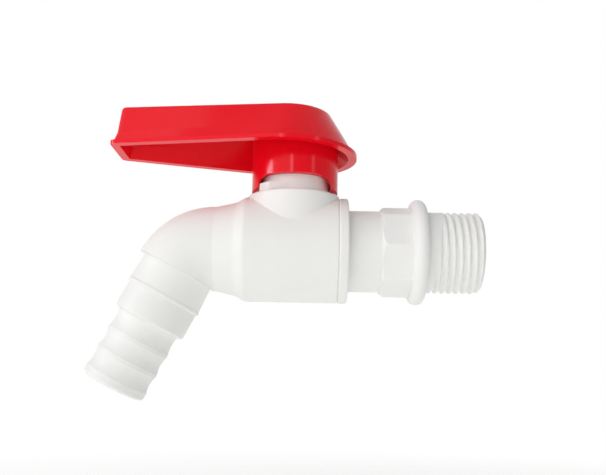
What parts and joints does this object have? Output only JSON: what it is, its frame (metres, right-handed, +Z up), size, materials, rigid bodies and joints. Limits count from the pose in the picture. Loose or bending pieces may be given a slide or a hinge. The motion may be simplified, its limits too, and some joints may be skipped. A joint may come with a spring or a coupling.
{
  "type": "water tap",
  "caption": "White plastic quarter-turn hose tap with a male threaded inlet, a bent spout with a barbed hose tail and a red tray-shaped lever.",
  "frame": {"origin": "middle of the inlet flange's seat face, where the male thread starts, on the pipe axis", "axes": "+X out of the inlet along the pipe axis, +Z up along the stem to the lever, spout towards -X"},
  "size_m": [0.1002, 0.0368, 0.0754],
  "materials": {
    "white_plastic": "moulded, semi-gloss",
    "red_plastic": "moulded, glossy",
    "seat_plastic": "turned, waxy",
    "seal_rubber": "moulded, matt",
    "screw_steel": "zinc plated"
  },
  "bodies": {
    "tap_body": {"valve_body": "white_plastic", "inlet_union": "white_plastic", "union_o_ring": "seal_rubber", "inlet_seat": "seat_plastic", "outlet_seat": "seat_plastic"},
    "lever": {"lever_handle": "red_plastic", "handle_screw": "screw_steel", "stem": "white_plastic", "stem_o_ring_lower": "seal_rubber", "stem_o_ring_upper": "seal_rubber", "thrust_washer": "seat_plastic", "ball": "white_plastic"}
  },
  "joints": [
    {"name": "lever_turn", "type": "hinge", "parent": "tap_body", "child": "lever", "pos_m": [-0.0336, 0, 0], "axis": [0, 0, 1], "range_deg": [-90, 0]}
  ]
}
